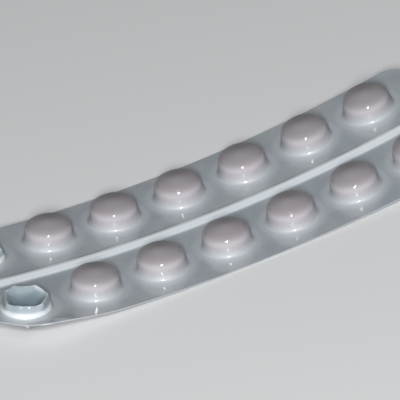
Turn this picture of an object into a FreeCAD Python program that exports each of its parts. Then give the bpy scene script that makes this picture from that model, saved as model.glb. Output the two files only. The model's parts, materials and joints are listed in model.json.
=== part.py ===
"""Push-through blister strip of round tablets, in millimetres, +Z up.

A thin film is formed into two rows of pockets with a stiffening rib between the rows, and a lidding foil
closes it from below. The strip is curled along its length into an arc that opens upwards, so it rests on
the middle of its underside and both ends stand clear. The pair of pockets at its -X end has been pushed in:
the pockets are crushed, the foil under them is burst and their tablets are gone.

The origin is on the underside of the foil, in the middle of the strip, where it touches the table.
+X runs along the strip and +Y across it, from the front row to the back row.
"""
import FreeCAD, Part
import math
import os

from FreeCAD import Placement, Rotation, Vector

# --- driving dimensions ---------------------------------------------------------------------------------

# tablets
TABLET_DIAMETER = 8.2
TABLET_BAND = 2.4            # height of the straight side
TABLET_CROWN = 0.85          # rise of each domed face
TABLET_SEAT_GAP = 0.08       # tablet above the foil

# sheet materials
FILM_THICKNESS = 0.25
FOIL_THICKNESS = 0.06

# sound pockets
TABLET_SIDE_CLEARANCE = 0.85 # tablet's side to the pocket's wall, at the foot
TABLET_TOP_CLEARANCE = 0.55  # tablet's crown to the pocket's roof
POCKET_LEAN = 0.65           # how much the wall closes in on its way up
POCKET_ROOF_RISE = 0.75      # doming of the roof
POCKET_SHOULDER = 1.75       # rounding between wall and roof, inside
POCKET_FOOT_FLARE = 0.75     # rounding between wall and flange, outside

# layout
PAIRS = 7
EMPTIED_PAIRS = 1
POCKET_GAP = 4.1             # between the feet of neighbours in a row
ROW_GAP = 12.4               # between the feet of the two rows
SIDE_MARGIN = 4.45           # foot of a pocket to the long edge
START_MARGIN = 3.35          # foot of the first pocket to the -X end
FINISH_MARGIN = 11.75        # foot of the last pocket to the +X end
CORNER_CUT = 8.0             # leg of each 45 degree corner cut
CORNER_ROUND = 3.5           # rounding of each cut's two corners
CURL_RADIUS = 310.0          # underside of the foil, along the strip

# stiffening rib
RIB_WIDTH = 2.7
RIB_HEIGHT = 0.95
RIB_ROOT_ROUND = 0.35
RIB_END_MARGIN = 4.5         # rib's end to the strip's end

# crushed pockets
CRUSH_SHIFT = 0.7            # they stand this much nearer the -X end than the pitch puts them
CRUSH_RIM_HEIGHT = 2.6       # buckled rim above the flange
CRUSH_ROUND_HEIGHT = 0.9     # the wall stays round up to here
CRUSH_CREST = 0.35           # width of the rim's crest
CRUSH_DISH_RUN = 2.2         # crest to the edge of the dish's floor
CRUSH_DISH_DEPTH = 1.5
# each fold of the buckled rim: direction in degrees, and how far it is drawn in from the foot
CRUSH_FOLDS = ((-8, 0.25), (38, 0.2), (95, 0.3), (130, 0.35),
               (190, 0.45), (225, 1.2), (262, 1.2), (293, 0.35))
CRUSH_TURN_BACK = 35.0       # the back row's folds are turned by this much

# burst foil under the emptied pockets
BURST_CLEARANCE = 0.35       # opening's edge to the tablet's side
BURST_TEARS = (12, 88, 150, 222, 301)
BURST_NECK = 0.15            # each tear stops this far inside the opening's edge
BURST_FLAP_REACH = 2.6       # flap's tip to the opening's edge, in plan
BURST_FLAP_DROP = 1.4        # flap's tip below the foil

# --- what follows from them ------------------------------------------------------------------------------

BEND_CENTRE = Vector(0, 0, CURL_RADIUS)
ACROSS = Vector(0, 1, 0)
UP = Vector(0, 0, 1)

FILM_TOP = FOIL_THICKNESS + FILM_THICKNESS
TABLET_THICKNESS = TABLET_BAND + 2 * TABLET_CROWN
FOOT_RADIUS = TABLET_DIAMETER / 2 + TABLET_SIDE_CLEARANCE + FILM_THICKNESS
# a pocket stands on the film's top, while its tablet sits lower down, on the foil
POCKET_HEIGHT = TABLET_SEAT_GAP + TABLET_THICKNESS + TABLET_TOP_CLEARANCE

PITCH = 2 * FOOT_RADIUS + POCKET_GAP
ROW_OFFSET = FOOT_RADIUS + ROW_GAP / 2
WIDTH = 2 * (ROW_OFFSET + FOOT_RADIUS + SIDE_MARGIN)
LENGTH = 2 * FOOT_RADIUS + (PAIRS - 1) * PITCH + START_MARGIN + FINISH_MARGIN
FIRST_PAIR = -LENGTH / 2 + START_MARGIN + FOOT_RADIUS

RIB_RADIUS = (RIB_WIDTH ** 2 / 4 + RIB_HEIGHT ** 2) / (2 * RIB_HEIGHT)
RIB_REACH = LENGTH / 2 - RIB_END_MARGIN - RIB_WIDTH / 2

SINK = FILM_THICKNESS / 2    # how deep a raised form is rooted in the sheet below it
BACKING = 2 * FILM_THICKNESS # solid below the formed surface
OVERLAP = 1.0                # how far a cutting shape passes what it cuts


# --- placing things on the curled strip ------------------------------------------------------------------

def turn_at(along):
    """Angle in degrees about +Y that carries the strip's middle to a place along it."""
    return -math.degrees(along / CURL_RADIUS)


def seat(shape, along, across, height):
    """Put a shape, made upright at the origin, on the strip, height above the foil's underside."""
    placed = shape.copy()
    placed.translate(Vector(0, across, height))
    placed.rotate(BEND_CENTRE, ACROSS, turn_at(along))
    return placed


def sweep_along(face, start, finish):
    """Sweep a face in the plane X = 0 along the curl, between two places along the strip."""
    profile = face.copy()
    profile.rotate(BEND_CENTRE, ACROSS, turn_at(start))
    return profile.revolve(BEND_CENTRE, ACROSS, turn_at(finish - start))


def layer(bottom, top, margin=0.0):
    """A curled slab between two heights, wider and longer than the strip by a margin."""
    half = WIDTH / 2 + margin
    corners = [Vector(0, -half, bottom), Vector(0, half, bottom), Vector(0, half, top), Vector(0, -half, top)]
    face = Part.Face(Part.makePolygon(corners + corners[:1]))
    reach = LENGTH / 2 + margin
    return sweep_along(face, -reach, reach)


def polar(radius, degrees, height=0.0):
    """Point at a radius and direction about the Z axis."""
    angle = math.radians(degrees)
    return Vector(radius * math.cos(angle), radius * math.sin(angle), height)


def rounded_wire(corners, radius):
    """Closed wire through a convex outline's corners, each rounded by a tangent arc."""
    edges = []
    starts = []
    ends = []
    arcs = []
    count = len(corners)
    for index in range(count):
        corner = corners[index]
        back = (corners[index - 1] - corner).normalize()
        ahead = (corners[(index + 1) % count] - corner).normalize()
        half_angle = back.getAngle(ahead) / 2
        tangent = radius / math.tan(half_angle)
        to_centre = (back + ahead).normalize()
        middle = corner + to_centre * (radius / math.sin(half_angle) - radius)
        starts.append(corner + back * tangent)
        ends.append(corner + ahead * tangent)
        arcs.append(Part.Arc(starts[index], middle, ends[index]).toShape())
    for index in range(count):
        edges.append(arcs[index])
        edges.append(Part.makeLine(ends[index], starts[(index + 1) % count]))
    return Part.Wire(edges)


def planform():
    """Upright prism over the strip's outline: a rectangle with its four corners cut at 45 degrees."""
    end = CURL_RADIUS * math.sin(LENGTH / 2 / CURL_RADIUS)
    side = WIDTH / 2
    quarter = [(end, side - CORNER_CUT), (end - CORNER_CUT, side)]
    corners = [Vector(x, y, -OVERLAP) for x, y in quarter]
    corners += [Vector(-x, y, -OVERLAP) for x, y in reversed(quarter)]
    corners += [Vector(-x, -y, -OVERLAP) for x, y in quarter]
    corners += [Vector(x, -y, -OVERLAP) for x, y in reversed(quarter)]
    face = Part.Face(rounded_wire(corners, CORNER_ROUND))
    end_lift = CURL_RADIUS - math.sqrt(CURL_RADIUS ** 2 - end ** 2)
    return face.extrude(UP * (end_lift + FILM_TOP + POCKET_HEIGHT + 2 * OVERLAP))


def pocket_places():
    """Every pocket's pair number, row name and place along and across the strip."""
    places = []
    for pair in range(1, PAIRS + 1):
        along = FIRST_PAIR + (pair - 1) * PITCH
        if pair <= EMPTIED_PAIRS:
            along -= CRUSH_SHIFT
        places.append((pair, "back", along, ROW_OFFSET))
        places.append((pair, "front", along, -ROW_OFFSET))
    return places


# --- forms that stand on the flange, each inset from the film's outer surface -----------------------------

def wall_radius(height):
    """Outside radius of a pocket's wall at a height above the flange."""
    return FOOT_RADIUS - POCKET_LEAN * height / POCKET_HEIGHT


def sound_pocket(inset):
    """Solid of a sound pocket, rooted in the sheet."""
    top = POCKET_HEIGHT - inset
    edge_height = top - POCKET_ROOF_RISE
    edge_radius = wall_radius(edge_height) - inset
    root = Vector(wall_radius(-SINK) - inset, 0, -SINK - inset)
    roof_edge = Vector(edge_radius, 0, edge_height)
    roof_radius = (edge_radius ** 2 + POCKET_ROOF_RISE ** 2) / (2 * POCKET_ROOF_RISE)
    half = edge_radius / 2
    roof_middle = Vector(half, 0, top - roof_radius + math.sqrt(roof_radius ** 2 - half ** 2))
    outline = [
        Part.makeLine(Vector(0, 0, -SINK - inset), root),
        Part.makeLine(root, roof_edge),
        Part.Arc(roof_edge, roof_middle, Vector(0, 0, top)).toShape(),
        Part.makeLine(Vector(0, 0, top), Vector(0, 0, -SINK - inset)),
    ]
    body = Part.Face(Part.Wire(outline)).revolve(Vector(0, 0, 0), UP, 360)
    shoulder = POCKET_SHOULDER + FILM_THICKNESS - inset
    rim = [edge for edge in body.Edges if abs(edge.BoundBox.ZMax - edge_height) < 1e-6
           and abs(edge.BoundBox.ZMin - edge_height) < 1e-6]
    return body.makeFillet(shoulder, rim)


def fold_wire(folds, inset, height):
    """Polygon of a buckled rim's folds, drawn in by an inset."""
    corners = [polar(FOOT_RADIUS - drawn - inset, direction, height) for direction, drawn in folds]
    return Part.makePolygon(corners + corners[:1])


def round_wire(folds, radius, height):
    """Circle split into arcs at the directions of a rim's folds."""
    directions = [direction for direction, drawn in folds]
    arcs = []
    for first, second in zip(directions, directions[1:] + [directions[0] + 360]):
        middle = polar(radius, (first + second) / 2, height)
        arcs.append(Part.Arc(polar(radius, first, height), middle, polar(radius, second, height)).toShape())
    return Part.Wire(arcs)


def crushed_pocket(folds, inset):
    """Solid of a crushed pocket: round foot, buckled wall and a dish pressed into its roof."""
    rim = CRUSH_RIM_HEIGHT - inset
    bottom = -SINK - inset
    foot = Part.makeCone(wall_radius(bottom) - inset, wall_radius(CRUSH_ROUND_HEIGHT) - inset,
                         CRUSH_ROUND_HEIGHT - bottom, Vector(0, 0, bottom))
    wall_start = round_wire(folds, wall_radius(CRUSH_ROUND_HEIGHT) - inset, CRUSH_ROUND_HEIGHT)
    wall = Part.makeLoft([wall_start, fold_wire(folds, inset, rim)], True, True)
    # the dish's sides run on above the rim, so that the cut is clean
    slope = CRUSH_DISH_RUN / CRUSH_DISH_DEPTH
    floor = CRUSH_RIM_HEIGHT - CRUSH_DISH_DEPTH - inset
    top = rim + OVERLAP
    floor_inset = CRUSH_CREST + CRUSH_DISH_RUN - inset
    mouth_inset = floor_inset - slope * (top - floor)
    dish = Part.makeLoft([fold_wire(folds, floor_inset, floor), fold_wire(folds, mouth_inset, top)], True, True)
    return foot.fuse(wall).cut(dish)


def rib(inset):
    """Solid of the stiffening rib, seated on the strip: an arched section with rounded ends."""
    radius = RIB_RADIUS - inset
    centre = RIB_HEIGHT - RIB_RADIUS
    root = -SINK - inset
    half = math.sqrt(radius ** 2 - (root - centre) ** 2)
    crown = Vector(0, 0, centre + radius)
    section = Part.Wire([
        Part.Arc(Vector(0, -half, root), crown, Vector(0, half, root)).toShape(),
        Part.makeLine(Vector(0, half, root), Vector(0, -half, root)),
    ])
    section.translate(UP * FILM_TOP)
    body = sweep_along(Part.Face(section), -RIB_REACH, RIB_REACH)
    ball = Part.makeSphere(radius, Vector(0, 0, centre))
    slab = Part.makeBox(4 * radius, 4 * radius, crown.z - root + OVERLAP, Vector(-2 * radius, -2 * radius, root))
    cap = ball.common(slab)
    return body.fuse([seat(cap, -RIB_REACH, 0, FILM_TOP), seat(cap, RIB_REACH, 0, FILM_TOP)])


# --- formed film -------------------------------------------------------------------------------------------

def root_edges(shape, height):
    """Edges where the raised forms meet the flange, as pockets' edges and the rib's edges."""
    pockets = []
    ribs = []
    for edge in shape.Edges:
        if edge.Degenerated:
            continue
        points = edge.discretize(9)
        radii = [math.hypot(point.x, point.z - CURL_RADIUS) for point in points]
        on_flange = max(abs(radius - (CURL_RADIUS - height)) for radius in radii) < 1e-3
        reach = max(abs(math.atan2(point.x, CURL_RADIUS - point.z)) * CURL_RADIUS for point in points)
        spread = max(abs(point.y) for point in points)
        if not on_flange or reach > LENGTH / 2 or spread > WIDTH / 2:
            continue
        if spread < RIB_WIDTH:
            ribs.append(edge)
        else:
            pockets.append(edge)
    return pockets, ribs


def formed_block(inset, margin, backing):
    """Everything below the formed surface, with that surface lowered by an inset."""
    raised = [rib(inset)]
    for pair, row, along, across in pocket_places():
        if pair <= EMPTIED_PAIRS:
            turn = CRUSH_TURN_BACK if row == "back" else 0.0
            folds = [(direction + turn, drawn) for direction, drawn in CRUSH_FOLDS]
            pocket = crushed_pocket(folds, inset)
        else:
            pocket = sound_pocket(inset)
        raised.append(seat(pocket, along, across, FILM_TOP))
    top = FILM_TOP - inset
    block = layer(top - backing, top, margin).fuse(raised)
    pockets, ribs = root_edges(block, top)
    block = block.makeFillet(POCKET_FOOT_FLARE + inset, pockets)
    pockets, ribs = root_edges(block, top)
    return block.makeFillet(RIB_ROOT_ROUND + inset, ribs)


def film():
    """The formed film: the outer form less the same form one film thickness further in."""
    outer = formed_block(0.0, OVERLAP, BACKING)
    inner = formed_block(FILM_THICKNESS, 2 * OVERLAP, 2 * BACKING)
    return outer.cut(inner).common(planform())


# --- lidding foil ------------------------------------------------------------------------------------------

def burst_radius():
    """Radius of the opening that a tablet leaves in the foil."""
    return TABLET_DIAMETER / 2 + BURST_CLEARANCE


def burst_flaps():
    """Ring of torn flaps bent down from an opening's edge, with the foil's underside at Z = 0."""
    edge = burst_radius()
    tip = edge - BURST_FLAP_REACH
    outline = [
        Vector(edge + FOIL_THICKNESS, 0, 0),
        Vector(edge + FOIL_THICKNESS, 0, FOIL_THICKNESS),
        Vector(edge, 0, FOIL_THICKNESS),
        Vector(tip, 0, FOIL_THICKNESS - BURST_FLAP_DROP),
        Vector(tip, 0, -BURST_FLAP_DROP),
        Vector(edge, 0, 0),
    ]
    ring = Part.Face(Part.makePolygon(outline + outline[:1])).revolve(Vector(0, 0, 0), UP, 360)
    star = []
    for first, second in zip(BURST_TEARS, BURST_TEARS[1:] + (BURST_TEARS[0] + 360,)):
        star.append(polar(edge - BURST_NECK, first, -BURST_FLAP_DROP - OVERLAP))
        star.append(polar(tip, (first + second) / 2, -BURST_FLAP_DROP - OVERLAP))
    torn = Part.Face(Part.makePolygon(star + star[:1])).extrude(UP * (BURST_FLAP_DROP + 2 * OVERLAP))
    return ring.cut(torn)


def foil():
    """The lidding foil, burst under the emptied pockets."""
    sheet = layer(0.0, FOIL_THICKNESS, OVERLAP).common(planform())
    hole = Part.makeCylinder(burst_radius(), 2 * OVERLAP, Vector(0, 0, -OVERLAP))
    flaps = burst_flaps()
    emptied = [place for place in pocket_places() if place[0] <= EMPTIED_PAIRS]
    for pair, row, along, across in emptied:
        sheet = sheet.cut(seat(hole, along, across, 0.0))
        sheet = sheet.fuse(seat(flaps, along, across, 0.0))
    return sheet


# --- tablets -------------------------------------------------------------------------------------------------

def tablet():
    """A biconvex tablet standing on its lower crown."""
    radius = TABLET_DIAMETER / 2
    crown_radius = (radius ** 2 + TABLET_CROWN ** 2) / (2 * TABLET_CROWN)
    half = radius / 2
    half_rise = crown_radius - math.sqrt(crown_radius ** 2 - half ** 2)
    band_top = TABLET_CROWN + TABLET_BAND
    outline = [
        Part.Arc(Vector(0, 0, 0), Vector(half, 0, half_rise), Vector(radius, 0, TABLET_CROWN)).toShape(),
        Part.makeLine(Vector(radius, 0, TABLET_CROWN), Vector(radius, 0, band_top)),
        Part.Arc(Vector(radius, 0, band_top), Vector(half, 0, TABLET_THICKNESS - half_rise),
                 Vector(0, 0, TABLET_THICKNESS)).toShape(),
        Part.makeLine(Vector(0, 0, TABLET_THICKNESS), Vector(0, 0, 0)),
    ]
    return Part.Face(Part.Wire(outline)).revolve(Vector(0, 0, 0), UP, 360)


def tablets():
    """Every tablet that is left, by node name."""
    named = {}
    for pair, row, along, across in pocket_places():
        if pair > EMPTIED_PAIRS:
            named[f"tablet_{row}_{pair}"] = seat(tablet(), along, across, FOIL_THICKNESS + TABLET_SEAT_GAP)
    return named


def main():
    """Build every piece and write one STEP file for each."""
    pieces = {"blister_film": film(), "lidding_foil": foil()}
    pieces.update(tablets())
    os.makedirs("parts", exist_ok=True)
    for name, shape in pieces.items():
        box = shape.BoundBox
        print(f"{name}: {len(shape.Solids)} solid, valid {shape.isValid()}, volume {shape.Volume:.2f} mm3, "
              f"X {box.XMin:.2f}..{box.XMax:.2f}  Y {box.YMin:.2f}..{box.YMax:.2f}  Z {box.ZMin:.2f}..{box.ZMax:.2f}")
        shape.exportStep(f"parts/{name}.step")


main()
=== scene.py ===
"""Looks of a curled push-through blister strip with round tablets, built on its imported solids.

The strip is modelled flat, ring by ring, in metres: X runs along it, Y across it from the front row to the
back row, and Z is the height above the foil's underside. The finished sheets are then curled to their radius.
"""

import enum
import json
import logging
import math
from collections.abc import Callable, Iterator, Sequence
from contextlib import contextmanager
from dataclasses import dataclass, field

import bmesh
import bpy
from bpy.types import Material, Node, NodeSocket, Object
from mathutils import Matrix, Vector, noise

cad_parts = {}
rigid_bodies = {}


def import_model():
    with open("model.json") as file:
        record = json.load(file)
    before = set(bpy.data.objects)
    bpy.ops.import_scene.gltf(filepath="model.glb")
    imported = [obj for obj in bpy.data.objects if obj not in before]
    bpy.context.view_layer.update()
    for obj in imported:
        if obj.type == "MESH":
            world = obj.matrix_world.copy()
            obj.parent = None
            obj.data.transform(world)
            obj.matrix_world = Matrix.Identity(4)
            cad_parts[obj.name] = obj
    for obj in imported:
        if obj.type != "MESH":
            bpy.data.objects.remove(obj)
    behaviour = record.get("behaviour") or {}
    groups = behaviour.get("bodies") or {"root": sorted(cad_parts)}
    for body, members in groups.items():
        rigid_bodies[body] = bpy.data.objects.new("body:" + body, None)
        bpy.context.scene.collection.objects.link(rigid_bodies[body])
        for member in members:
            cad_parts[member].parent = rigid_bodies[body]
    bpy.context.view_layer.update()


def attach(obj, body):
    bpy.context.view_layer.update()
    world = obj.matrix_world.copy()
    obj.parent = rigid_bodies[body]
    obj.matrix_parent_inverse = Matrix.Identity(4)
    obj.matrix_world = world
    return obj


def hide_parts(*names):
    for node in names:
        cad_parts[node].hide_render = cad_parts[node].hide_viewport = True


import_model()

LOG = logging.getLogger("blister_strip")
MM = 0.001
NEAR = 0.01 * MM  # places nearer to each other than this count as one
SHARP = math.radians(40)

Colour = tuple[float, float, float]
Ring = tuple[float, float]
Span = tuple[float, float]


# --- sizes --------------------------------------------------------------------------------------------------


@dataclass(frozen=True)
class StripSizes:
    """Sizes of the strip in metres, the same as its solids have."""

    tablet_diameter: float = 8.2 * MM
    tablet_band: float = 2.4 * MM
    tablet_crown: float = 0.85 * MM
    tablet_seat_gap: float = 0.08 * MM
    film: float = 0.25 * MM
    foil: float = 0.06 * MM
    foot_radius: float = 5.2 * MM
    pocket_height: float = 4.73 * MM
    pocket_lean: float = 0.65 * MM
    roof_rise: float = 0.75 * MM
    shoulder: float = 2.0 * MM
    foot_flare: float = 0.75 * MM
    pairs: int = 7
    emptied_pairs: int = 1
    emptied_shift: float = 0.7 * MM
    pitch: float = 14.5 * MM
    row_offset: float = 11.4 * MM
    start_margin: float = 3.35 * MM
    finish_margin: float = 11.75 * MM
    side_margin: float = 4.45 * MM
    corner_cut: float = 8.0 * MM
    corner_round: float = 3.5 * MM
    curl_radius: float = 310.0 * MM
    rib_width: float = 2.7 * MM
    rib_height: float = 0.95 * MM
    rib_root: float = 0.35 * MM
    rib_end_margin: float = 4.5 * MM

    @property
    def film_top(self) -> float:
        """Height of the flange's upper side."""
        return self.foil + self.film

    @property
    def length(self) -> float:
        """Length of the flat strip."""
        return 2 * self.foot_radius + (self.pairs - 1) * self.pitch + self.start_margin + self.finish_margin

    @property
    def width(self) -> float:
        """Width of the strip."""
        return 2 * (self.row_offset + self.foot_radius + self.side_margin)

    @property
    def first_pair(self) -> float:
        """Place of the first pair of pockets along the flat strip."""
        return -self.length / 2 + self.start_margin + self.foot_radius

    @property
    def tablet_height(self) -> float:
        """Thickness of a tablet between its crowns."""
        return self.tablet_band + 2 * self.tablet_crown

    @property
    def cells_start(self) -> float:
        """Where the first pair's cells begin along the flat strip."""
        return self.first_pair - self.pitch / 2

    @property
    def cells_end(self) -> float:
        """Where the last pair's cells end along the flat strip."""
        return self.cells_start + self.pairs * self.pitch

    def pair_place(self, pair: int) -> float:
        """Place of a pair of pockets along the flat strip, counted from 1."""
        return self.first_pair + (pair - 1) * self.pitch

    def wall_radius(self, height: float) -> float:
        """Outside radius of a pocket's wall at a height above the flange."""
        return self.foot_radius - self.pocket_lean * height / self.pocket_height


class Row(enum.Enum):
    """Rows of pockets, by the side of the strip that they stand on."""

    FRONT = -1
    BACK = 1


class Part(enum.Enum):
    """Parts of a mesh that can be picked."""

    EDGE = "edges"
    FACE = "faces"


# --- the bench: picking and shaping -------------------------------------------------------------------------


def deselect_all() -> None:
    """Leave nothing selected."""
    for item in bpy.context.view_layer.objects:
        item.select_set(False)


def only(piece: Object) -> Object:
    """Make a piece the only selected one, and the active one.

    Args:
        piece: The piece to work on.

    Returns:
        The same piece.
    """
    deselect_all()
    piece.select_set(True)
    bpy.context.view_layer.objects.active = piece
    return piece


@contextmanager
def edit_mode(piece: Object, whole: bool = False) -> Iterator[None]:
    """Work on one piece in edit mode.

    Args:
        piece: The piece to shape.
        whole: Whether all of it is picked at first, or nothing.
    """
    only(piece)
    bpy.ops.object.mode_set(mode="EDIT")
    bpy.ops.mesh.select_mode(type="VERT")
    bpy.ops.mesh.select_all(action="SELECT" if whole else "DESELECT")
    yield
    bpy.ops.object.mode_set(mode="OBJECT")


def pick(piece: Object, part: Part, wanted: Callable[..., bool]) -> None:
    """Pick the edges or faces that answer a test, and nothing else.

    Args:
        piece: The piece in edit mode.
        part: What is picked.
        wanted: The test of one edge or face.
    """
    bpy.ops.mesh.select_mode(type=part.name)
    bpy.ops.mesh.select_all(action="DESELECT")
    mesh = bmesh.from_edit_mesh(piece.data)
    for item in getattr(mesh, part.value):
        if wanted(item):
            item.select_set(True)
    bmesh.update_edit_mesh(piece.data)


def move_picked(piece: Object, goal: Callable[[Vector], Vector]) -> None:
    """Move every picked vertex to the place that a rule gives it.

    Args:
        piece: The piece in edit mode.
        goal: The rule from a vertex's place to its new place.
    """
    mesh = bmesh.from_edit_mesh(piece.data)
    for vertex in mesh.verts:
        if vertex.select:
            vertex.co = goal(vertex.co.copy())
    bmesh.update_edit_mesh(piece.data)


def press(piece: Object, rule: Callable[[Vector], Vector]) -> None:
    """Press the whole of a piece into shape, by a rule from each vertex's place to its new place."""
    with edit_mode(piece, whole=True):
        move_picked(piece, rule)


def merge_doubles(piece: Object) -> None:
    """Merge vertices that coincide, and turn the faces outwards, or upwards on an open sheet.

    Args:
        piece: The piece to clean.
    """
    with edit_mode(piece, whole=True):
        bpy.ops.mesh.remove_doubles(threshold=NEAR)
        bpy.ops.mesh.normals_make_consistent(inside=False)
        mesh = bmesh.from_edit_mesh(piece.data)
        facing = sum(face.normal.z * face.calc_area() for face in mesh.faces)
        if facing <= 0 and any(edge.is_boundary for edge in mesh.edges):
            bpy.ops.mesh.flip_normals()


def apply_modifier(piece: Object, kind: str, settings: dict[str, object]) -> None:
    """Put one modifier on a piece and apply it.

    Args:
        piece: The piece to change.
        kind: The modifier's type.
        settings: Its settings by name.
    """
    only(piece)
    modifier = piece.modifiers.new(kind.lower(), kind)
    for name, value in settings.items():
        setattr(modifier, name, value)
    bpy.ops.object.modifier_apply(modifier=modifier.name)


def smooth(piece: Object) -> Object:
    """Shade a piece smooth between its sharp edges.

    Args:
        piece: The piece to shade.

    Returns:
        The same piece.
    """
    only(piece)
    bpy.ops.object.shade_smooth_by_angle(angle=SHARP)
    return piece


def named(piece: Object, name: str) -> Object:
    """Give a piece and its mesh one name.

    Args:
        piece: The piece to name.
        name: The name.

    Returns:
        The same piece.
    """
    piece.name = name
    piece.data.name = name
    return piece


def duplicate(piece: Object, name: str) -> Object:
    """Copy a piece under a new name, with a mesh of its own.

    Args:
        piece: The piece to copy.
        name: The copy's name.

    Returns:
        The copy.
    """
    only(piece)
    bpy.ops.object.duplicate(linked=False)
    return named(bpy.context.view_layer.objects.active, name)


def settle(piece: Object) -> Object:
    """Move a piece's place, turn and scale into its mesh.

    Args:
        piece: The piece to settle.

    Returns:
        The same piece.
    """
    only(piece)
    bpy.ops.object.transform_apply(location=True, rotation=True, scale=True)
    return piece


def shift(piece: Object, by: Vector) -> Object:
    """Move a piece within its own mesh.

    Args:
        piece: The piece to move.
        by: How far, and which way.

    Returns:
        The same piece.
    """
    with edit_mode(piece, whole=True):
        bpy.ops.transform.translate(value=by)
    return piece


def half_turn(piece: Object) -> Object:
    """Turn a piece half round the upright axis, in its mesh.

    Args:
        piece: The piece to turn.

    Returns:
        The same piece.
    """
    with edit_mode(piece, whole=True):
        bpy.ops.transform.rotate(value=math.pi, orient_axis="Z", center_override=(0, 0, 0))
    return piece


def extrude_along(places: Sequence[float]) -> None:
    """Extrude the picked edges along the strip, from the first of some places to each of the others.

    Args:
        places: The places in order, of which the edges stand at the first.
    """
    for at, place in zip(places, places[1:]):
        bpy.ops.mesh.extrude_edges_indiv()
        bpy.ops.transform.translate(value=(place - at, 0, 0))


def join(pieces: Sequence[Object], name: str) -> Object:
    """Join pieces into the first of them, under a new name.

    Args:
        pieces: The pieces to join.
        name: The name of the result.

    Returns:
        The joined piece.
    """
    only(pieces[0])
    for piece in pieces[1:]:
        piece.select_set(True)
    bpy.ops.object.join()
    return named(pieces[0], name)


def remove(piece: Object) -> None:
    """Take a piece that is no longer needed out of the scene."""
    only(piece)
    bpy.ops.object.delete()


def from_axis(place: Vector) -> float:
    """Distance of a place from the upright axis."""
    return math.hypot(place.x, place.y)


def polar(angle: float, radius: float = 1.0) -> Vector:
    """Place in plan, at an angle in radians round the upright axis and a distance from it."""
    return Vector((radius * math.cos(angle), radius * math.sin(angle)))


def arc(centre: Ring, radius: float, start: float, finish: float, steps: int) -> list[Ring]:
    """Points along an arc in a form's half section.

    Args:
        centre: Distance from the axis and height of the arc's centre.
        radius: The arc's radius.
        start: Direction of its first point in degrees, from straight outwards towards up.
        finish: Direction of its last point in degrees.
        steps: How many parts it is divided into.

    Returns:
        Distance from the axis and height of each point.
    """
    points = []
    for step in range(steps + 1):
        angle = math.radians(start + (finish - start) * step / steps)
        points.append((centre[0] + radius * math.cos(angle), centre[1] + radius * math.sin(angle)))
    return points


def turned_form(name: str, rings: Sequence[Ring], segments: int) -> Object:
    """Raise a round form ring by ring from one circle.

    Args:
        name: The form's name.
        rings: Radius and height of each ring in order. A last radius of nought closes the form.
        segments: How many parts each ring has.

    Returns:
        The form, standing round the upright axis.
    """
    deselect_all()
    radius, height = rings[0]
    bpy.ops.mesh.primitive_circle_add(vertices=segments, radius=radius, fill_type="NOTHING")
    form = named(bpy.context.view_layer.objects.active, name)
    with edit_mode(form, whole=True):
        bpy.ops.transform.translate(value=(0, 0, height))
        for next_radius, next_height in rings[1:]:
            bpy.ops.mesh.extrude_edges_indiv()
            bpy.ops.transform.translate(value=(0, 0, next_height - height))
            if next_radius == 0:
                bpy.ops.mesh.merge(type="CENTER")
                break
            ratio = next_radius / radius
            bpy.ops.transform.resize(value=(ratio, ratio, 1), center_override=(0, 0, next_height))
            radius, height = next_radius, next_height
    return form


def smooth_ramp(value: float, start: float, finish: float) -> float:
    """Share of the way from a start to a finish that a value has come, with both ends eased."""
    share = min(max((value - start) / (finish - start), 0.0), 1.0)
    return share * share * (3 - 2 * share)


# --- the strip's sheets -------------------------------------------------------------------------------------


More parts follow.
